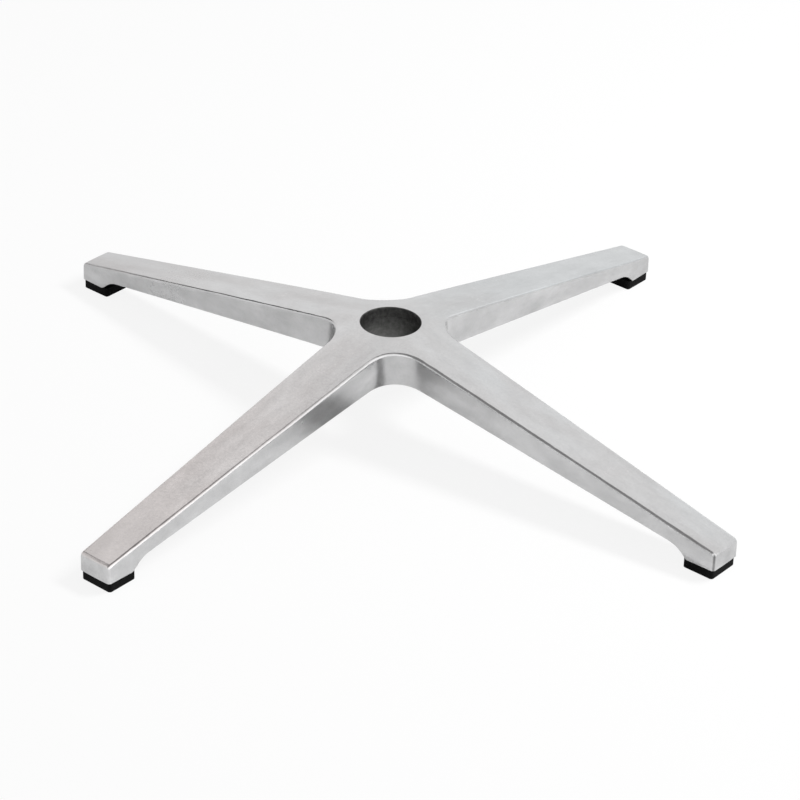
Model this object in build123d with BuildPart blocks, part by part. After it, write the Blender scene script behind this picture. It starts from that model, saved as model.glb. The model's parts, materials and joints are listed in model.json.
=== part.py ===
from build123d import *
from math import radians, tan
import os

# Four-star swivel chair base, in millimetres: a die-cast star with a socket for the column, on
# four screwed-on glides. The floor is Z = 0, the column axis is Z, and the arms lie along X and Y.

# The arms, by the way each one points, counter-clockwise from X
arm_names = ["right", "back", "left", "front"]

# The star from above, where its drafted sides would meet the floor
reach = 350.0  # column axis to the end face of an arm
root_width = 53.0  # arm width, extended to the column axis
tip_width = 32.4  # arm width at its end face
corner_radius = 29.5  # hollow corner between two arms
draft = 0.7  # degrees that the sides lean in, towards the top
edge_radius = 2.7  # rounding along the top edges and down the corners of the ends

# The star from the side
rim_height = 92.0  # top of the hub, at the rim of the socket
tip_height = 24.5  # top of an arm, where it would meet its end face
end_radius = 4.5  # rounding from the top of an arm over to its end face
skirt_height = 59.3  # lower edge round the hub
skirt_radius = 45.0  # where the lower edge leaves the hub and starts to fall
skirt_blend = 60.0
lower_edge_height = 12.6  # lower edge of an arm's sides, extended to its end face
foot_length = 24.5  # flat seat of the glide, measured from the end face
foot_slope = 43.0  # degrees, from the seat up to the lower edge
foot_blend = 25.0

# The cored underside
side_wall = 4.5
top_wall = 5.0
core_bevel = 2.5  # along the core's upper edges
core_end_radius = 6.0
heel_length = 50.0  # solid end of an arm
rib_count = 3  # cross ribs under each arm
rib_thickness = 3.5
rib_recess = 3.0  # ribs stop this far above the lower edge

# The column socket: a lead-in around the column tube, then the taper that grips it
column_radius = 25.0
lead_in_clearance = 0.25
lead_in_length = 8.0
rim_chamfer = 0.75
socket_taper = 1 / 20  # loss of diameter for each unit of depth
boss_wall = 8.5
boss_height = 52.0  # lower end of the boss, above the floor

# The glides
glide_height = 7.4
glide_length = 28.6
glide_side_inset = 0.7  # glide to the sides of the foot
glide_end_inset = 1.6  # glide to the end face
glide_corner_radius = 2.5

# The glide screws
screw_radius = 2.0
screw_length = 14.0
head_radius = 3.8
head_height = 2.4
head_bevel = 1.0
head_recess = 1.0  # head to the floor
drive_width = 0.9
drive_span = 4.2
drive_depth = 1.4
head_clearance = 0.5
hole_clearance = 0.25
thread_clearance = 0.05
pilot_spare = 1.5  # pilot hole beyond the screw's end

# How far a cutting shape runs past the material
overshoot = 5.0

arm_count = len(arm_names)
rim_radius = column_radius + lead_in_clearance + rim_chamfer
boss_radius = column_radius + lead_in_clearance + boss_wall
top_slope = (rim_height - tip_height) / (reach - rim_radius)
lower_slope = (skirt_height - lower_edge_height) / (reach - skirt_radius)
core_reach = reach - heel_length
glide_width = tip_width - 2 * glide_height * tan(radians(draft)) - 2 * glide_side_inset
glide_radius = reach - glide_end_inset - glide_length / 2
head_seat = head_recess + head_height


def half_width(radius):
    """Half the width of an arm at this distance from the column axis."""
    return (root_width + (tip_width - root_width) * radius / reach) / 2


def top_height(radius):
    """Height of the star's conical top at this distance from the column axis."""
    return rim_height - (radius - rim_radius) * top_slope


def lower_height(radius):
    """Height of an arm's straight lower edge at this distance from the column axis."""
    return skirt_height - (radius - skirt_radius) * lower_slope


def star_outline(inset, length):
    """The star from above, with its sides moved in by inset and its arms ended at length."""
    inner = half_width(0) - inset
    outer = half_width(length) - inset
    with BuildSketch() as outline:
        with PolarLocations(0, arm_count):
            Polygon((0, -inner), (length, -outer), (length, outer), (0, inner), align=None)
        fillet(outline.vertices().group_by(SortBy.DISTANCE)[0], corner_radius + inset)
    return outline.sketch


# Cross ribs, as slabs that the core leaves standing
with BuildPart() as ribs:
    rib_pitch = (core_reach - boss_radius) / (rib_count + 1)
    for rib in range(1, rib_count + 1):
        with PolarLocations(boss_radius + rib * rib_pitch, arm_count):
            Box(rib_thickness, root_width, 2 * rim_height)
    with BuildSketch(Plane.XZ):
        Polygon(
            (0, skirt_height + rib_recess),
            (skirt_radius, skirt_height + rib_recess),
            (reach, lower_height(reach) + rib_recess),
            (reach, rim_height),
            (0, rim_height),
            align=None,
        )
    revolve(axis=Axis.Z, mode=Mode.INTERSECT)

# The core that hollows the star from below, around the boss and between the ribs
with BuildPart() as core:
    with BuildSketch() as core_plan:
        add(star_outline(side_wall, core_reach))
        fillet(core_plan.vertices().group_by(SortBy.DISTANCE)[-1], core_end_radius)
    extrude(amount=rim_height, taper=draft)
    with BuildSketch(Plane.XZ):
        Polygon(
            (0, -overshoot),
            (reach, -overshoot),
            (reach, top_height(reach) - top_wall),
            (rim_radius, rim_height - top_wall),
            (0, rim_height - top_wall),
            align=None,
        )
    revolve(axis=Axis.Z, mode=Mode.INTERSECT)
    ceiling = core.faces().filter_by(GeomType.CONE).sort_by(SortBy.AREA)[-1]
    chamfer(ceiling.edges().filter_by(GeomType.CIRCLE, reverse=True), core_bevel)
    Cylinder(boss_radius, 2 * rim_height, mode=Mode.SUBTRACT)
    add(ribs.part, mode=Mode.SUBTRACT)

# The star: its plan cut to its side view, with rounded top edges, then cored, bored and drilled
with BuildPart() as base_casting:
    add(star_outline(0, reach + overshoot))
    extrude(amount=rim_height + overshoot, taper=draft)
    seat_start = reach - foot_length
    foot_rise = tan(radians(foot_slope))
    foot_top = (glide_height + seat_start * foot_rise - lower_height(0)) / (foot_rise - lower_slope)
    with BuildSketch(Plane.XZ) as side_view:
        Polygon(
            (0, skirt_height),
            (skirt_radius, skirt_height),
            (foot_top, lower_height(foot_top)),
            (seat_start, glide_height),
            (reach, glide_height),
            (reach, tip_height),
            (rim_radius, rim_height),
            (0, rim_height),
            align=None,
        )
        fillet(side_view.vertices().sort_by_distance((skirt_radius, skirt_height))[0], skirt_blend)
        fillet(side_view.vertices().sort_by_distance((foot_top, lower_height(foot_top)))[0], foot_blend)
        fillet(side_view.vertices().sort_by_distance((reach, tip_height))[0], end_radius)
    revolve(axis=Axis.Z, mode=Mode.INTERSECT)
    star_top = base_casting.faces().filter_by(GeomType.CONE).sort_by(SortBy.AREA)[-1]
    fillet(star_top.edges().filter_by(GeomType.CIRCLE, reverse=True), edge_radius)
    with BuildSketch(Plane.XY.offset(boss_height)):
        Circle(boss_radius)
    extrude(amount=top_height(boss_radius) - top_wall - boss_height)
    add(core.part, mode=Mode.SUBTRACT)
    with BuildSketch(Plane.XZ):
        lead_in_radius = column_radius + lead_in_clearance
        taper_start = rim_height - rim_chamfer - lead_in_length
        taper_end = boss_height - overshoot
        taper_end_radius = column_radius - (taper_start - taper_end) * socket_taper / 2
        Polygon(
            (0, taper_end),
            (taper_end_radius, taper_end),
            (column_radius, taper_start),
            (lead_in_radius, taper_start),
            (lead_in_radius, rim_height - rim_chamfer),
            (rim_radius + overshoot, rim_height + overshoot),
            (0, rim_height + overshoot),
            align=None,
        )
    revolve(axis=Axis.Z, mode=Mode.SUBTRACT)
    pilot_depth = head_seat + screw_length + pilot_spare - glide_height
    with Locations(Plane((0, 0, glide_height), z_dir=(0, 0, -1))):
        with PolarLocations(glide_radius, arm_count):
            Hole(screw_radius + thread_clearance, depth=pilot_depth)

# One glide under each foot, with a sunk hole for its screw
glides = {}
for number, arm_name in enumerate(arm_names):
    arm_plane = Plane.XY.rotated((0, 0, number * 360 / arm_count))
    with BuildPart() as glide:
        with BuildSketch(arm_plane):
            with Locations((glide_radius, 0)):
                RectangleRounded(glide_length, glide_width, glide_corner_radius)
        extrude(amount=glide_height)
        with Locations(Plane(arm_plane.origin, x_dir=arm_plane.x_dir, z_dir=-arm_plane.z_dir)):
            with Locations((glide_radius, 0)):
                CounterBoreHole(
                    screw_radius + hole_clearance,
                    head_radius + head_clearance,
                    head_seat,
                )
    glides["glide_" + arm_name] = glide.part

# A pan head screw, standing on its head, on its own axis
with BuildPart() as screw:
    with BuildSketch(Plane.XZ) as screw_section:
        Polygon(
            (0, head_recess),
            (head_radius, head_recess),
            (head_radius, head_seat),
            (screw_radius, head_seat),
            (screw_radius, head_seat + screw_length),
            (0, head_seat + screw_length),
            align=None,
        )
        chamfer(screw_section.vertices().sort_by_distance((head_radius, head_recess))[0], head_bevel)
    revolve(axis=Axis.Z)
    with BuildSketch(Plane.XY.offset(head_recess)):
        Rectangle(drive_span, drive_width)
        Rectangle(drive_width, drive_span)
    extrude(amount=drive_depth, mode=Mode.SUBTRACT)

with BuildPart() as glide_screws:
    with PolarLocations(glide_radius, arm_count):
        add(screw.part)

os.makedirs("parts", exist_ok=True)
base_casting.part.label = "base_casting"
export_step(base_casting.part, "parts/base_casting.step")
for node_name, glide_part in glides.items():
    glide_part.label = node_name
    export_step(glide_part, f"parts/{node_name}.step")
glide_screws.part.label = "glide_screws"
export_step(glide_screws.part, "parts/glide_screws.step")
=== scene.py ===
import json
from math import cos, pi, radians, sin
from typing import NamedTuple

import bpy
from mathutils import Matrix, Vector


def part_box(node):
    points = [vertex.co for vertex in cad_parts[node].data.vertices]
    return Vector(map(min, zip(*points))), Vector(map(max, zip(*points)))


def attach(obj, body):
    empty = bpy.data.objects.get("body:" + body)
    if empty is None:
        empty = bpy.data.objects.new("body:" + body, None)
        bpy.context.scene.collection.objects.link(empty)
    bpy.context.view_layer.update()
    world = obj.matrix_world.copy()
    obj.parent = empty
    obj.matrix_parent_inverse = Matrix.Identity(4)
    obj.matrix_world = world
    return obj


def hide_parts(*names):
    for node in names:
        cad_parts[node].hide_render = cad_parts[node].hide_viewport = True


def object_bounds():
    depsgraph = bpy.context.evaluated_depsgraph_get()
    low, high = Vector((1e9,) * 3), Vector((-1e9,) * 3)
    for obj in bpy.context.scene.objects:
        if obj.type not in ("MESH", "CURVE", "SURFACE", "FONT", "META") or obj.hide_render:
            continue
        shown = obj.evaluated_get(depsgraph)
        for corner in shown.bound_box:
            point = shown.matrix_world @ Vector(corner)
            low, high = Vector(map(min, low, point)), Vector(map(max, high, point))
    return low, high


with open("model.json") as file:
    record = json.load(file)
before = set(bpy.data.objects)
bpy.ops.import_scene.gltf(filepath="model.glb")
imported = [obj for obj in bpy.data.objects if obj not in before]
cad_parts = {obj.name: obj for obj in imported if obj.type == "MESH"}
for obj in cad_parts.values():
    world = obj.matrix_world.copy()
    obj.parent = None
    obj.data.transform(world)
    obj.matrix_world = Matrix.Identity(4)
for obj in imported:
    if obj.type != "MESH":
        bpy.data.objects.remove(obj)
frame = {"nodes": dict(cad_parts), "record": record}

bl_info = {
    "name": "Swivel chair base",
    "version": (1, 0, 0),
    "blender": (4, 5, 0),
    "location": "View3D > Sidebar > Chair Base",
    "description": "Dresses a four-star chair base: buffed casting, nylon glides and their screws",
    "category": "Object",
}

BODY = "root"
STAR_NODE = "base_casting"
SCREW_NODE = "glide_screws"
GLIDE_NODES = sorted(
    name for name in frame["nodes"] if name.startswith("glide_") and name != SCREW_NODE
)

CAD_LOW, CAD_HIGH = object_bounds()
SOCKET_RADIUS = next(
    mount["dims"]["r_mm"] / 1000
    for mount in frame["record"]["mounts"]
    if mount["name"] == "column_socket"
)
GLIDE_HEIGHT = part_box(GLIDE_NODES[0])[1].z

# Distances from the column axis
RIM_EDGE = SOCKET_RADIUS + 0.0008  # just outside the socket's bevelled rim
BOSS_EDGE = SOCKET_RADIUS + 0.011  # just outside the boss around the socket
END_START = CAD_HIGH.x - 0.010  # where the rounded end of an arm starts

# Heights in the socket
SOCKET_DARK_HEIGHT = CAD_HIGH.z - 0.004  # where the socket is darkest, just under the rim
SOCKET_BRIGHT_HEIGHT = CAD_HIGH.z - 0.030  # from where down the socket is brightest

# How the copied meshes are merged and their faces told apart
MERGE_DISTANCE = 2e-6  # points nearer than this are one
FLAT_ANGLE = radians(1)  # faces at less than this to each other are one
SEAM_TOLERANCE = 0.0001  # points this near the glides' height are in the seam
TOP_RISE = 0.2  # faces whose normal rises more than this are top
CROSSWISE = 0.75  # faces whose normal runs along the arm by more than this lie across it
MIDDLE_SLACK = 1e-5  # lets faces on the middle line of an arm count as outer ones

# Rise of the normal up to which a surface is finished as a side, and from which as a top
SIDE_RISE = 0.3
FLAT_RISE = 0.8

# Order of the casting's materials
BUFFED, CAST, BARE = range(3)

# Red, green and blue of the zinc plate where it is warmest, as parts of its colour
WARM_ZINC = (1.02, 0.98, 0.86)

# The studio's white, and its strength where it isn't 1
WHITE = (1, 1, 1, 1)
HORIZON_SHINE = 0.94  # near the horizon, in reflections
MATT_LIGHT = 0.28  # as light on matt surfaces

# Share of plain white over the floor's own shade
FLOOR_SEEN = 0.88  # to the camera
FLOOR_UNDER_STAR = 0.1  # in reflections
FLOOR_BEYOND_ARMS = 0.8  # in reflections

SENSOR_WIDTH = 36.0  # millimetres


class StudioCard(NamedTuple):
    """A round card that curves about the base, its angles in degrees and its radius in metres"""

    name: str
    azimuth: float  # to the right of straight back, as the camera sees it
    elevation: float  # above the horizon
    half_angle: float
    radius: float
    radiance: float


STUDIO_CARDS = (
    StudioCard("ceiling_card", azimuth=-90, elevation=78, half_angle=28, radius=2.6, radiance=0.28),
    StudioCard("left_card", azimuth=-135, elevation=55, half_angle=31, radius=2.4, radiance=0.28),
    StudioCard("dark_flag", azimuth=-54, elevation=35, half_angle=15, radius=2.3, radiance=0.0),
    StudioCard("right_card", azimuth=133, elevation=14, half_angle=38, radius=2.4, radiance=1.62),
    StudioCard("front_card", azimuth=178, elevation=12, half_angle=33, radius=2.3, radiance=1.45),
    StudioCard("bright_strip", azimuth=40, elevation=29, half_angle=7, radius=2.3, radiance=1.5),
)


class CastingSettings(bpy.types.PropertyGroup):
    """The buffed star, its rough underside and its bare socket"""

    warm_colour: bpy.props.FloatVectorProperty(
        name="Warm colour",
        description="Buffed aluminium where it is warmest",
        subtype="COLOR",
        default=(0.616, 0.580, 0.572),
    )
    cool_colour: bpy.props.FloatVectorProperty(
        name="Cool colour",
        description="Buffed aluminium where it is coolest",
        subtype="COLOR",
        default=(0.582, 0.597, 0.606),
    )
    cast_colour: bpy.props.FloatVectorProperty(
        name="Cast colour",
        description="Rough aluminium on the underside",
        subtype="COLOR",
        default=(0.36, 0.36, 0.36),
    )
    socket_colour: bpy.props.FloatVectorProperty(
        name="Socket colour",
        description="Bare metal in the column socket",
        subtype="COLOR",
        default=(0.19, 0.19, 0.185),
    )
    top_tint: bpy.props.FloatProperty(
        name="Top tint",
        description="Tint of the top at the column axis, from warm at 0 to cool at 1",
        subtype="FACTOR",
        default=0.64,
    )
    # Painted reflection tint: sides cooler than tops, standing in for the cool horizon they reflect
    side_reflection_tint: bpy.props.FloatProperty(
        name="Side tint",
        description="Tint of the sides, from warm at 0 to cool at 1",
        subtype="FACTOR",
        default=0.70,
    )
    # Painted reflection tint: warmer along the front arm, cooler along the back one, standing in for
    # the warm light above and cool horizon their tops reflect
    reflection_tint_drift: bpy.props.FloatVectorProperty(
        name="Tint drift",
        description="How much cooler the finish gets for each metre along X, Y and Z",
        subtype="XYZ",
        default=(0.2, 2.6, 0.0),
    )
    shine_drift: bpy.props.FloatVectorProperty(
        name="Shine drift",
        description="How much brighter the finish gets for each metre along X, Y and Z",
        subtype="XYZ",
        default=(0.10, 0.033, 0.0),
    )
    # Painted light on the front arm's sides, standing in for the lit floor they reflect
    front_side_painted_light: bpy.props.FloatProperty(
        name="Front shine",
        description="How much brighter the sides of the front arm are than its top",
        default=0.05,
    )
    # Painted shade on the other sides, standing in for the darker floor they reflect
    side_painted_shade: bpy.props.FloatProperty(
        name="Side shine",
        description="How much brighter the other sides are than the top",
        default=-0.10,
    )
    roughness: bpy.props.FloatProperty(
        name="Roughness",
        description="Roughness of the buffed finish",
        subtype="FACTOR",
        default=0.22,
    )
    dull_roughness: bpy.props.FloatProperty(
        name="Dull roughness",
        description="Roughness at the end of the left arm, where the finish is dullest",
        subtype="FACTOR",
        default=0.40,
    )
    # The casting is darker in a narrow line down this upright corner of the right foot
    dark_line_corner: bpy.props.FloatVectorProperty(
        name="Rubbed corner",
        description="Upright corner of the right foot that has been rubbed dark, seen from above",
        size=2,
        subtype="TRANSLATION",
        default=(0.3489, -0.0153),
    )
    # The socket is brighter towards -X and -Y
    socket_tone_drift: bpy.props.FloatVectorProperty(
        name="Socket wear",
        description="How much brighter the socket is worn for each metre along X, Y and Z",
        subtype="XYZ",
        default=(-12.0, -7.0, 0.0),
    )
    crease_angle: bpy.props.FloatProperty(
        name="Crease angle",
        description="Edges of the casting sharper than this stay sharp",
        subtype="ANGLE",
        default=radians(32),
    )


class GlideSettings(bpy.types.PropertyGroup):
    """The moulded glides and their screws"""

    nylon_colour: bpy.props.FloatVectorProperty(
        name="Nylon colour",
        description="Moulded nylon",
        subtype="COLOR",
        default=(0.0038, 0.0038, 0.0039),
    )
    scuff_colour: bpy.props.FloatVectorProperty(
        name="Scuff colour",
        description="Nylon where the floor has rubbed it",
        subtype="COLOR",
        default=(0.016, 0.016, 0.016),
    )
    zinc_colour: bpy.props.FloatVectorProperty(
        name="Zinc colour",
        description="Zinc plate of the screws",
        subtype="COLOR",
        default=(0.62, 0.63, 0.65),
    )
    edge_rounding: bpy.props.FloatProperty(
        name="Edge rounding",
        description="Width of the rounding along a glide's edges",
        unit="LENGTH",
        default=0.0006,
    )
    seam_lift: bpy.props.FloatProperty(
        name="Seam lift",
        description="How much higher than the solids the seam between a foot and its glide stands",
        unit="LENGTH",
        default=0.0013,
    )
    crease_angle: bpy.props.FloatProperty(
        name="Crease angle",
        description="Edges sharper than this are rounded on the glides and stay sharp on the screws",
        subtype="ANGLE",
        default=radians(40),
    )


class StageSettings(bpy.types.PropertyGroup):
    """Camera and floor"""

    view_azimuth: bpy.props.FloatProperty(
        name="View azimuth",
        description="Turn of the camera round the column axis",
        subtype="ANGLE",
        default=radians(39.407),
    )
    view_elevation: bpy.props.FloatProperty(
        name="View elevation",
        description="Camera's height above the horizon",
        subtype="ANGLE",
        default=radians(30.756),
    )
    view_roll: bpy.props.FloatProperty(
        name="View roll",
        description="Turn of the camera about its own line of sight",
        subtype="ANGLE",
        default=radians(1.897),
    )
    view_offset: bpy.props.FloatVectorProperty(
        name="View offset",
        description="Camera's place from the base's origin, along its own right, up and back",
        subtype="TRANSLATION",
        default=(0.010428, 0.0139, 2.694482),
    )
    focal_length: bpy.props.FloatProperty(
        name="Focal length",
        description="Focal length for a sensor 36 mm wide, in millimetres",
        unit="CAMERA",
        default=142.862,
    )
    floor_colour: bpy.props.FloatVectorProperty(
        name="Floor colour",
        description="Colour of the floor",
        subtype="COLOR",
        default=(0.9, 0.9, 0.9),
    )


def chair_base():
    """The add-on's settings on the current scene."""
    return bpy.context.scene.chair_base


def rgba(colour, brightness=1.0):
    """A colour at this brightness, as a shader socket takes it."""
    return (*(brightness * part for part in colour), 1)


def new_material(name):
    """An empty node material; returns it and its node tree."""
    material = bpy.data.materials.new(name)
    material.use_nodes = True
    material.node_tree.nodes.clear()
    return material, material.node_tree


def connect(tree, socket, value):
    """Links a socket to the value if that is a socket, and sets it otherwise."""
    if isinstance(value, bpy.types.NodeSocket):
        tree.links.new(value, socket)
    else:
        socket.default_value = value


def add_node(tree, kind, **inputs):
    """A node of this kind, with its inputs given by name, as sockets or values."""
    node = tree.nodes.new(kind)
    for name, value in inputs.items():
        connect(tree, node.inputs[name.replace("_", " ")], value)
    return node


def calc(tree, operation, *values):
    """Result of a Math node."""
    node = tree.nodes.new("ShaderNodeMath")
    node.operation = operation
    for socket, value in zip(node.inputs, values):
        connect(tree, socket, value)
    return node.outputs["Value"]


def coordinate(tree, vector, axis):
    """One coordinate of a vector."""
    return add_node(tree, "ShaderNodeSeparateXYZ", Vector=vector).outputs[axis]


def dot_product(tree, first, second):
    """Dot product of two vectors."""
    node = tree.nodes.new("ShaderNodeVectorMath")
    node.operation = "DOT_PRODUCT"
    connect(tree, node.inputs[0], first)
    connect(tree, node.inputs[1], second)
    return node.outputs["Value"]


def vector_length(tree, vector):
    """Length of a vector."""
    node = tree.nodes.new("ShaderNodeVectorMath")
    node.operation = "LENGTH"
    connect(tree, node.inputs[0], vector)
    return node.outputs["Value"]


def stretched(tree, place, scale, offset=(0.0, 0.0, 0.0)):
    """The place, stretched along X, Y and Z and then moved by the offset."""
    node = add_node(tree, "ShaderNodeMapping", Vector=place, Location=offset, Scale=scale)
    return node.outputs["Vector"]


def scaled_colour(tree, colour, factor):
    """The colour, this much brighter."""
    node = tree.nodes.new("ShaderNodeVectorMath")
    node.operation = "SCALE"
    connect(tree, node.inputs[0], colour)
    connect(tree, node.inputs["Scale"], factor)
    return node.outputs["Vector"]


def weighted_sum(tree, start, *terms):
    """The start value plus each term's swing about a half, times its weight."""
    total = start
    for value, weight in terms:
        swing = calc(tree, "SUBTRACT", value, 0.5)
        total = calc(tree, "MULTIPLY_ADD", swing, weight, total)
    return total


def remap(tree, value, old_range, new_range):
    """The value, taken from one range to another and held inside it."""
    old_start, old_end = old_range
    new_start, new_end = new_range
    node = add_node(
        tree,
        "ShaderNodeMapRange",
        Value=value,
        From_Min=old_start,
        From_Max=old_end,
        To_Min=new_start,
        To_Max=new_end,
    )
    return node.outputs["Result"]


def mix_values(tree, share, first, second):
    """A value between two others."""
    node = tree.nodes.new("ShaderNodeMix")
    node.data_type = "FLOAT"
    for index, value in ((0, share), (2, first), (3, second)):
        connect(tree, node.inputs[index], value)
    return node.outputs[0]


def mix_colours(tree, share, first, second):
    """A colour between two others."""
    node = tree.nodes.new("ShaderNodeMix")
    node.data_type = "RGBA"
    for index, value in ((0, share), (6, first), (7, second)):
        connect(tree, node.inputs[index], value)
    return node.outputs[2]


def noise(tree, place, scale, detail, roughness=0.5):
    """Noise with this many cells for each metre, or for each unit of a stretched place."""
    node = add_node(
        tree,
        "ShaderNodeTexNoise",
        Vector=place,
        Scale=scale,
        Detail=detail,
        Roughness=roughness,
    )
    return node.outputs["Fac"]


def arm_noise(tree, place, along, across, detail):
    """Noise drawn out along each arm, with cells for each metre along and across it."""
    reach_x = calc(tree, "ABSOLUTE", coordinate(tree, place, "X"))
    reach_y = calc(tree, "ABSOLUTE", coordinate(tree, place, "Y"))
    lead = calc(tree, "SUBTRACT", reach_x, reach_y)
    on_x_arm = remap(tree, lead, (-SOCKET_RADIUS, SOCKET_RADIUS), (0.0, 1.0))
    along_y = noise(tree, stretched(tree, place, (across, along, across)), 1.0, detail)
    along_x = noise(tree, stretched(tree, place, (along, across, across)), 1.0, detail)
    return mix_values(tree, on_x_arm, along_y, along_x)


def bump(tree, height, distance, under=None):
    """Normal of a surface raised by the height times the distance, over an earlier bump."""
    node = add_node(tree, "ShaderNodeBump", Height=height, Distance=distance, Strength=1.0)
    if under:
        connect(tree, node.inputs["Normal"], under)
    return node.outputs["Normal"]


def finish_surface(tree, **inputs):
    """A Principled shader with these inputs, on the material's output."""
    shader = add_node(tree, "ShaderNodeBsdfPrincipled", **inputs)
    add_node(tree, "ShaderNodeOutputMaterial", Surface=shader.outputs["BSDF"])


def object_place(tree):
    """The piece's own coordinates."""
    return add_node(tree, "ShaderNodeTexCoord").outputs["Object"]


def side_share(tree):
    """One on upright sides, falling to nothing on tops."""
    normal = add_node(tree, "ShaderNodeNewGeometry").outputs["Normal"]
    return remap(tree, coordinate(tree, normal, "Z"), (SIDE_RISE, FLAT_RISE), (1.0, 0.0))


def painted_light_of_sides(tree, settings, ahead):
    """Painted light and shade on the sides, standing in for the floor they reflect: how much brighter
    than tops the sides are, most along the front arm, short of its end face.
    """
    at_end_face = (0.999 * CAD_LOW.y, 0.994 * CAD_LOW.y)
    near_hub = (0.5 * CAD_LOW.y, 0.2 * CAD_LOW.y)
    return calc(
        tree,
        "MINIMUM",
        remap(tree, ahead, at_end_face, (settings.side_painted_shade, settings.front_side_painted_light)),
        remap(tree, ahead, near_hub, (settings.front_side_painted_light, settings.side_painted_shade)),
    )


def front_arm_patches(tree, ahead):
    """How many times stronger than elsewhere the marks on the front arm are."""
    strongest = 0.7 * CAD_LOW.y
    at_end, at_strongest = 1.2, 2.8
    return calc(
        tree,
        "MINIMUM",
        remap(tree, ahead, (CAD_LOW.y, strongest), (at_end, at_strongest)),
        remap(tree, ahead, (strongest, 0.0), (at_strongest, 1.0)),
    )


def corner_dark_line(tree, settings, place):
    """Loss of brightness in a narrow line down the corner."""
    corner_x, corner_y = settings.dark_line_corner
    from_corner = stretched(tree, place, (1.0, 1.0, 0.0), offset=(-corner_x, -corner_y, 0.0))
    line_edge = (0.0005, 0.0014)
    darkest = -0.55
    return remap(tree, vector_length(tree, from_corner), line_edge, (darkest, 0.0))


def buffed_aluminium(settings):
    """Buffed aluminium: clouded along the arms, mottled most on the sides, patchy on the front arm.

    The end of the left arm is duller, and the casting is darker in a narrow line down one upright
    corner of the right foot. The sides carry painted shade, darker than the tops, and the front arm's
    sides painted light.
    """
    material, tree = new_material("buffed_aluminium")
    place = object_place(tree)
    sideways = coordinate(tree, place, "X")
    ahead = coordinate(tree, place, "Y")
    side = side_share(tree)
    clouds = arm_noise(tree, place, along=11.0, across=34.0, detail=3.0)
    mottle = arm_noise(tree, place, along=70.0, across=120.0, detail=3.0)
    streaks = arm_noise(tree, place, along=26.0, across=300.0, detail=2.0)
    bands = arm_noise(tree, place, along=4.0, across=52.0, detail=1.0)
    waves = arm_noise(tree, place, along=16.0, across=46.0, detail=1.0)
    speckle = noise(tree, place, scale=480.0, detail=3.0, roughness=0.65)

    # Tint: the cloud noise varies it at random; the drift and the cooler sides are painted reflection
    # tint
    tint = calc(tree, "ADD", dot_product(tree, place, settings.reflection_tint_drift), settings.top_tint)
    tint = weighted_sum(tree, tint, (clouds, 0.8))
    tint = mix_values(tree, side, tint, settings.side_reflection_tint)
    colour = mix_colours(tree, tint, rgba(settings.warm_colour), rgba(settings.cool_colour))

    # The marks' weights on tops, and on sides where those differ
    patchy = mix_values(tree, side, front_arm_patches(tree, ahead), 1.0)
    cloud_weight = mix_values(tree, side, 0.34, 0.55)
    band_weight = calc(tree, "MULTIPLY", patchy, 0.16)
    mottle_weight = mix_values(tree, side, calc(tree, "MULTIPLY", patchy, 0.15), 0.34)
    streak_weight = 0.07
    speckle_weight = calc(tree, "MULTIPLY", patchy, 0.20)

    shade = calc(tree, "ADD", dot_product(tree, place, settings.shine_drift), 1.0)
    # Painted light and shade on the sides, standing in for the floor they reflect
    shade = calc(tree, "MULTIPLY_ADD", side, painted_light_of_sides(tree, settings, ahead), shade)
    shade = weighted_sum(
        tree,
        shade,
        (clouds, cloud_weight),
        (bands, band_weight),
        (mottle, mottle_weight),
        (streaks, streak_weight),
        (speckle, speckle_weight),
    )
    # Darker in a narrow line down one upright corner of the right foot
    shade = calc(tree, "ADD", shade, corner_dark_line(tree, settings, place))
    colour = scaled_colour(tree, colour, shade)

    left_end = (CAD_LOW.x, 0.55 * CAD_LOW.x)
    roughness = remap(tree, sideways, left_end, (settings.dull_roughness, settings.roughness))
    roughness = weighted_sum(tree, roughness, (clouds, -0.14), (mottle, 0.12), (speckle, 0.14))
    surface = bump(tree, waves, distance=0.0004)
    surface = bump(tree, mottle, distance=0.00008, under=surface)
    surface = bump(tree, speckle, distance=0.00004, under=surface)
    finish_surface(tree, Base_Color=colour, Metallic=1.0, Roughness=roughness, Normal=surface)
    return material


def cast_aluminium(settings):
    """Rough cast aluminium: grainy skin with flow marks and darker stains."""
    material, tree = new_material("cast_aluminium")
    place = object_place(tree)
    stains = noise(tree, place, scale=34.0, detail=4.0, roughness=0.6)
    flow = arm_noise(tree, place, along=18.0, across=120.0, detail=3.0)
    grain = noise(tree, place, scale=900.0, detail=3.0, roughness=0.6)
    shine = weighted_sum(tree, 0.6, (stains, 1.6), (flow, 0.8), (grain, 0.8))
    stained = rgba(settings.cast_colour, brightness=0.72)
    colour = mix_colours(tree, shine, stained, rgba(settings.cast_colour))
    roughness = weighted_sum(tree, 0.55, (stains, 0.2), (grain, 0.2))
    surface = bump(tree, flow, distance=0.0002)
    surface = bump(tree, grain, distance=0.00008, under=surface)
    finish_surface(tree, Base_Color=colour, Metallic=1.0, Roughness=roughness, Normal=surface)
    return material


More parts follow.
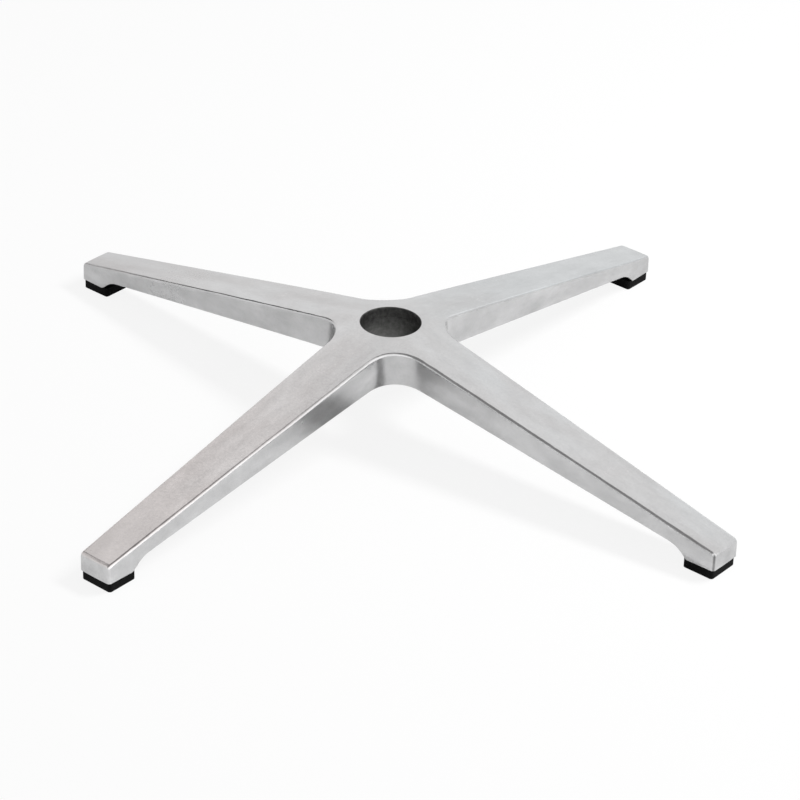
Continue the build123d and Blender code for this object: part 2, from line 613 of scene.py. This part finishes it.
def socket_metal(settings):
    """Bare, turned aluminium in the socket: mottled, with faint tool rings, darker just under the rim
    and brighter along a drift across it.
    """
    material, tree = new_material("socket_metal")
    place = object_place(tree)
    mottle = noise(tree, place, scale=240.0, detail=4.0, roughness=0.65)
    round_the_bore, down_the_bore = 6.0, 1400.0  # cells for each metre
    flattened = stretched(tree, place, (round_the_bore, round_the_bore, down_the_bore))
    rings = noise(tree, flattened, scale=1.0, detail=1.0)
    # Darker just under the rim, brightest from lower down
    deeper_brighter = remap(tree, coordinate(tree, place, "Z"), (SOCKET_BRIGHT_HEIGHT, SOCKET_DARK_HEIGHT), (1.0, 0.1))
    # Brighter along a drift across the socket
    graded = calc(tree, "ADD", dot_product(tree, place, settings.socket_tone_drift), 0.95)
    shine = calc(tree, "MULTIPLY", deeper_brighter, graded)
    shine = weighted_sum(tree, shine, (mottle, 1.3), (rings, 0.3))
    dark = rgba(settings.socket_colour, brightness=0.35)
    light = rgba(settings.socket_colour, brightness=1.5)
    colour = mix_colours(tree, shine, dark, light)
    roughness = weighted_sum(tree, 0.55, (mottle, -0.2))
    surface = bump(tree, rings, distance=0.00002)
    finish_surface(tree, Base_Color=colour, Metallic=1.0, Roughness=roughness, Normal=surface)
    return material


def black_nylon(settings):
    """Moulded nylon: fine matt grain, rubbed paler towards the floor."""
    material, tree = new_material("black_nylon")
    place = object_place(tree)
    grain = noise(tree, place, scale=1600.0, detail=3.0, roughness=0.6)
    scratches = noise(tree, place, scale=260.0, detail=5.0, roughness=0.75)
    height = coordinate(tree, place, "Z")
    near_floor = remap(tree, height, (0.0, 0.4 * GLIDE_HEIGHT), (0.55, 0.0))
    scratched = remap(tree, scratches, (0.45, 0.65), (0.0, 1.0))
    rubbed = calc(tree, "MULTIPLY", near_floor, scratched)
    colour = mix_colours(tree, rubbed, rgba(settings.nylon_colour), rgba(settings.scuff_colour))
    roughness = weighted_sum(tree, 0.6, (grain, 0.2), (scratches, 0.15))
    finish_surface(
        tree,
        Base_Color=colour,
        Roughness=roughness,
        Specular_IOR_Level=0.06,
        Normal=bump(tree, grain, distance=0.00003),
    )
    return material


def zinc_plate(settings):
    """Bright zinc plate: faintly clouded, with a fine crystal grain."""
    material, tree = new_material("zinc_plate")
    place = object_place(tree)
    clouds = noise(tree, place, scale=500.0, detail=3.0)
    grain = noise(tree, place, scale=2600.0, detail=2.0)
    clouded = remap(tree, clouds, (0.4, 0.7), (0.0, 1.0))
    warm = [part * warmth for part, warmth in zip(settings.zinc_colour, WARM_ZINC)]
    colour = mix_colours(tree, clouded, rgba(settings.zinc_colour), rgba(warm))
    roughness = weighted_sum(tree, 0.3, (clouds, 0.2), (grain, 0.1))
    surface = bump(tree, grain, distance=0.00001)
    finish_surface(tree, Base_Color=colour, Metallic=1.0, Roughness=roughness, Normal=surface)
    return material


def deselect_all():
    """Leaves object mode with nothing selected."""
    if bpy.context.object and bpy.context.object.mode != "OBJECT":
        bpy.ops.object.mode_set(mode="OBJECT")
    bpy.ops.object.select_all(action="DESELECT")


def make_active(piece):
    """Selects this piece alone."""
    deselect_all()
    piece.select_set(True)
    bpy.context.view_layer.objects.active = piece


def merged_copy(node_name, piece_name):
    """A new piece with a copy of the node's mesh, its triangles merged into one skin."""
    piece = bpy.data.objects.new(piece_name, frame["nodes"][node_name].data.copy())
    bpy.context.scene.collection.objects.link(piece)
    piece.data.materials.clear()
    make_active(piece)
    bpy.ops.mesh.customdata_custom_splitnormals_clear()
    bpy.ops.object.mode_set(mode="EDIT")
    bpy.ops.mesh.select_all(action="SELECT")
    bpy.ops.mesh.remove_doubles(threshold=MERGE_DISTANCE)
    bpy.ops.object.mode_set(mode="OBJECT")
    return piece


def apply_modifier(piece, kind, **values):
    """Adds a modifier with these values and applies it."""
    make_active(piece)
    modifier = piece.modifiers.new(kind.lower(), kind)
    for name, value in values.items():
        setattr(modifier, name, value)
    bpy.ops.object.modifier_apply(modifier=modifier.name)


def smooth_skin(piece, crease_angle):
    """Smooth shading with sharp creases, and normals that follow the large faces."""
    make_active(piece)
    bpy.ops.object.shade_smooth_by_angle(angle=crease_angle)
    apply_modifier(piece, "WEIGHTED_NORMAL", keep_sharp=True, weight=80)


def lift_seam(piece, lift):
    """Raises the piece's faces in the seam between the feet and the glides."""
    make_active(piece)
    bpy.ops.object.mode_set(mode="EDIT")
    bpy.ops.mesh.select_mode(type="VERT")
    bpy.ops.mesh.select_all(action="DESELECT")
    bpy.ops.object.mode_set(mode="OBJECT")
    for vertex in piece.data.vertices:
        vertex.select = abs(vertex.co.z - GLIDE_HEIGHT) < SEAM_TOLERANCE
    bpy.ops.object.mode_set(mode="EDIT")
    bpy.ops.transform.translate(value=(0, 0, lift))
    bpy.ops.object.mode_set(mode="OBJECT")


def merge_flat_faces(piece):
    """Joins the triangles of each flat face."""
    make_active(piece)
    bpy.ops.object.mode_set(mode="EDIT")
    bpy.ops.mesh.select_all(action="SELECT")
    bpy.ops.mesh.dissolve_limited(angle_limit=FLAT_ANGLE)
    bpy.ops.object.mode_set(mode="OBJECT")


def place_on_frame(piece, node_name):
    """Lets the piece stand for a node: hangs it on the body and hides the node."""
    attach(piece, BODY)
    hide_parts(node_name)


def is_buffed(face):
    """True for the faces that a buffing wheel reaches: the top, its edges and the outer sides."""
    centre, normal = face.center, face.normal
    if normal.z > TOP_RISE:
        return centre.xy.length > RIM_EDGE
    along, across = (0, 1) if abs(centre.x) > abs(centre.y) else (1, 0)
    upright = abs(normal.z) <= TOP_RISE
    outwards = centre.xy.dot(normal.xy) > 0 and centre[across] * normal[across] > -MIDDLE_SLACK
    lies_across = abs(normal[along]) > CROSSWISE and abs(centre[along]) < END_START
    return upright and outwards and not lies_across and centre.xy.length > BOSS_EDGE


class CHAIRBASE_OT_casting(bpy.types.Operator):
    """Make the star casting with its buffed skin, rough underside and bare socket"""

    bl_idname = "chair_base.casting"
    bl_label = "Star Casting"

    def execute(self, context):
        settings = chair_base().casting
        star = merged_copy(STAR_NODE, "star_casting")
        for make_material in (buffed_aluminium, cast_aluminium, socket_metal):
            star.data.materials.append(make_material(settings))
        for face in star.data.polygons:
            if is_buffed(face):
                face.material_index = BUFFED
            elif face.center.xy.length < RIM_EDGE:
                face.material_index = BARE
            else:
                face.material_index = CAST
        lift_seam(star, chair_base().glides.seam_lift)
        smooth_skin(star, settings.crease_angle)
        place_on_frame(star, STAR_NODE)
        return {"FINISHED"}


class CHAIRBASE_OT_glides(bpy.types.Operator):
    """Make the moulded glides with their rounded edges"""

    bl_idname = "chair_base.glides"
    bl_label = "Glides"

    def execute(self, context):
        settings = chair_base().glides
        nylon = black_nylon(settings)
        for node_name in GLIDE_NODES:
            glide = merged_copy(node_name, "nylon_" + node_name)
            glide.data.materials.append(nylon)
            lift_seam(glide, settings.seam_lift)
            merge_flat_faces(glide)
            apply_modifier(
                glide,
                "BEVEL",
                width=settings.edge_rounding,
                segments=3,
                limit_method="ANGLE",
                angle_limit=settings.crease_angle,
            )
            smooth_skin(glide, settings.crease_angle)
            place_on_frame(glide, node_name)
        return {"FINISHED"}


class CHAIRBASE_OT_screws(bpy.types.Operator):
    """Make the zinc-plated glide screws"""

    bl_idname = "chair_base.screws"
    bl_label = "Glide Screws"

    def execute(self, context):
        settings = chair_base().glides
        screws = merged_copy(SCREW_NODE, "zinc_screws")
        screws.data.materials.append(zinc_plate(settings))
        smooth_skin(screws, settings.crease_angle)
        place_on_frame(screws, SCREW_NODE)
        return {"FINISHED"}


def direction(settings, azimuth, elevation):
    """Unit vector from the base, in degrees to the right of straight back and above the horizon."""
    back = settings.view_azimuth + pi / 2 - radians(azimuth)
    height = radians(elevation)
    return Vector((cos(height) * cos(back), cos(height) * sin(back), sin(height)))


def add_camera(settings, scene):
    """The scene's camera, at the place and turn that the settings give."""
    camera = bpy.data.objects.new("camera", bpy.data.cameras.new("camera"))
    scene.collection.objects.link(camera)
    turn = (
        Matrix.Rotation(settings.view_azimuth, 3, "Z")
        @ Matrix.Rotation(pi / 2 - settings.view_elevation, 3, "X")
        @ Matrix.Rotation(settings.view_roll, 3, "Z")
    )
    camera.matrix_world = Matrix.Translation(turn @ settings.view_offset) @ turn.to_4x4()
    camera.data.sensor_width = SENSOR_WIDTH
    camera.data.lens = settings.focal_length
    scene.camera = camera


def add_card(settings, card):
    """A round card, curved about the base, that only reflections see."""
    deselect_all()
    bpy.ops.mesh.primitive_uv_sphere_add(
        segments=64, ring_count=32, radius=card.radius, location=(0, 0, 0)
    )
    cap = bpy.context.object
    cap.name = card.name
    bpy.ops.object.mode_set(mode="EDIT")
    bpy.ops.mesh.select_all(action="SELECT")
    towards = direction(settings, card.azimuth, card.elevation)
    rim = towards * card.radius * cos(radians(card.half_angle))
    bpy.ops.mesh.bisect(plane_co=rim, plane_no=towards, clear_inner=True, clear_outer=False)
    bpy.ops.object.mode_set(mode="OBJECT")
    material, tree = new_material(card.name)
    glow = add_node(tree, "ShaderNodeEmission", Color=WHITE, Strength=card.radiance)
    add_node(tree, "ShaderNodeOutputMaterial", Surface=glow.outputs["Emission"])
    cap.data.materials.append(material)
    cap.visible_camera = False
    cap.visible_shadow = False
    cap.visible_diffuse = False


def add_softbox(name, towards, distance, length, width, radiance):
    """A lamp with its length along X, that faces the base and shows in no reflection."""
    lamp = bpy.data.lights.new(name, "AREA")
    lamp.shape = "RECTANGLE"
    lamp.size = length
    lamp.size_y = width
    lamp.energy = radiance * pi * length * width
    box = bpy.data.objects.new(name, lamp)
    bpy.context.scene.collection.objects.link(box)
    rise = towards.cross(Vector((1, 0, 0))).normalized()
    turn = Matrix((rise.cross(towards), rise, towards)).transposed()
    box.matrix_world = Matrix.Translation(towards * distance) @ turn.to_4x4()
    box.visible_camera = False
    box.visible_glossy = False


def add_white_world(scene):
    """A white world, dimmer where it lights matt surfaces and, in reflections, near the horizon."""
    world = bpy.data.worlds.new("studio")
    world.use_nodes = True
    scene.world = world
    tree = world.node_tree
    rays = add_node(tree, "ShaderNodeLightPath").outputs
    towards = add_node(tree, "ShaderNodeTexCoord").outputs["Generated"]
    low_wall = (0.15, 0.45)
    mirrored = remap(tree, coordinate(tree, towards, "Z"), low_wall, (HORIZON_SHINE, 1.0))
    strength = mix_values(tree, rays["Is Glossy Ray"], 1.0, mirrored)
    strength = mix_values(tree, rays["Is Diffuse Ray"], strength, MATT_LIGHT)
    background = tree.nodes["Background"]
    connect(tree, background.inputs["Color"], WHITE)
    connect(tree, background.inputs["Strength"], strength)


def add_white_floor(settings):
    """A pale matt floor, its shadows faint to the camera and, under the star, deep in reflections."""
    deselect_all()
    bpy.ops.mesh.primitive_plane_add(size=20, location=(0, 0, 0))
    floor = bpy.context.object
    floor.name = "floor"
    material, tree = new_material("floor_white")
    rays = add_node(tree, "ShaderNodeLightPath").outputs
    matt = add_node(tree, "ShaderNodeBsdfDiffuse", Color=rgba(settings.floor_colour))
    white = add_node(tree, "ShaderNodeEmission", Color=WHITE, Strength=1.0)
    arm_ends = (0.94 * CAD_HIGH.x, 0.99 * CAD_HIGH.x)
    far_out = vector_length(tree, object_place(tree))
    in_mirror = remap(tree, far_out, arm_ends, (FLOOR_UNDER_STAR, FLOOR_BEYOND_ARMS))
    mirrored = calc(tree, "MAXIMUM", rays["Is Glossy Ray"], rays["Is Transmission Ray"])
    share = calc(tree, "MULTIPLY", mirrored, in_mirror)
    share = calc(tree, "MULTIPLY_ADD", rays["Is Camera Ray"], FLOOR_SEEN, share)
    mix = add_node(tree, "ShaderNodeMixShader", Fac=share)
    connect(tree, mix.inputs[1], matt.outputs["BSDF"])
    connect(tree, mix.inputs[2], white.outputs["Emission"])
    add_node(tree, "ShaderNodeOutputMaterial", Surface=mix.outputs["Shader"])
    floor.data.materials.append(material)


class CHAIRBASE_OT_stage(bpy.types.Operator):
    """Set up the camera, the white floor and the studio light"""

    bl_idname = "chair_base.stage"
    bl_label = "Stage"

    def execute(self, context):
        settings = chair_base().stage
        scene = context.scene
        scene.view_settings.view_transform = "Standard"
        add_camera(settings, scene)
        add_white_world(scene)
        add_white_floor(settings)
        add_softbox(
            "top_softbox",
            direction(settings, azimuth=82, elevation=52),
            distance=2.4,
            length=1.0,
            width=0.45,
            radiance=38.5,
        )
        for card in STUDIO_CARDS:
            add_card(settings, card)
        return {"FINISHED"}


class CHAIRBASE_PT_pieces(bpy.types.Panel):
    """Pieces of the chair base"""

    bl_idname = "CHAIRBASE_PT_pieces"
    bl_label = "Chair Base"
    bl_space_type = "VIEW_3D"
    bl_region_type = "UI"
    bl_category = "Chair Base"

    def draw(self, context):
        for operator in OPERATORS:
            self.layout.operator(operator.bl_idname)


class ChairBaseSettings(bpy.types.PropertyGroup):
    """All settings of the chair base"""

    casting: bpy.props.PointerProperty(
        name="Casting",
        description="Settings of the star casting",
        type=CastingSettings,
    )
    glides: bpy.props.PointerProperty(
        name="Glides",
        description="Settings of the glides and their screws",
        type=GlideSettings,
    )
    stage: bpy.props.PointerProperty(
        name="Stage",
        description="Settings of the camera and the floor",
        type=StageSettings,
    )


OPERATORS = (CHAIRBASE_OT_stage, CHAIRBASE_OT_casting, CHAIRBASE_OT_glides, CHAIRBASE_OT_screws)
CLASSES = (
    CastingSettings,
    GlideSettings,
    StageSettings,
    ChairBaseSettings,
    *OPERATORS,
    CHAIRBASE_PT_pieces,
)


def register():
    """Registers the classes and gives each scene its settings."""
    for cls in CLASSES:
        bpy.utils.register_class(cls)
    bpy.types.Scene.chair_base = bpy.props.PointerProperty(
        name="Chair base",
        description="Settings of the chair base",
        type=ChairBaseSettings,
    )


def unregister():
    """Takes the settings and the classes away again."""
    del bpy.types.Scene.chair_base
    for cls in reversed(CLASSES):
        bpy.utils.unregister_class(cls)


def main():
    """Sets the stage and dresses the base."""
    register()
    bpy.ops.chair_base.stage()
    bpy.ops.chair_base.casting()
    bpy.ops.chair_base.glides()
    bpy.ops.chair_base.screws()


if __name__ == "__main__":
    main()
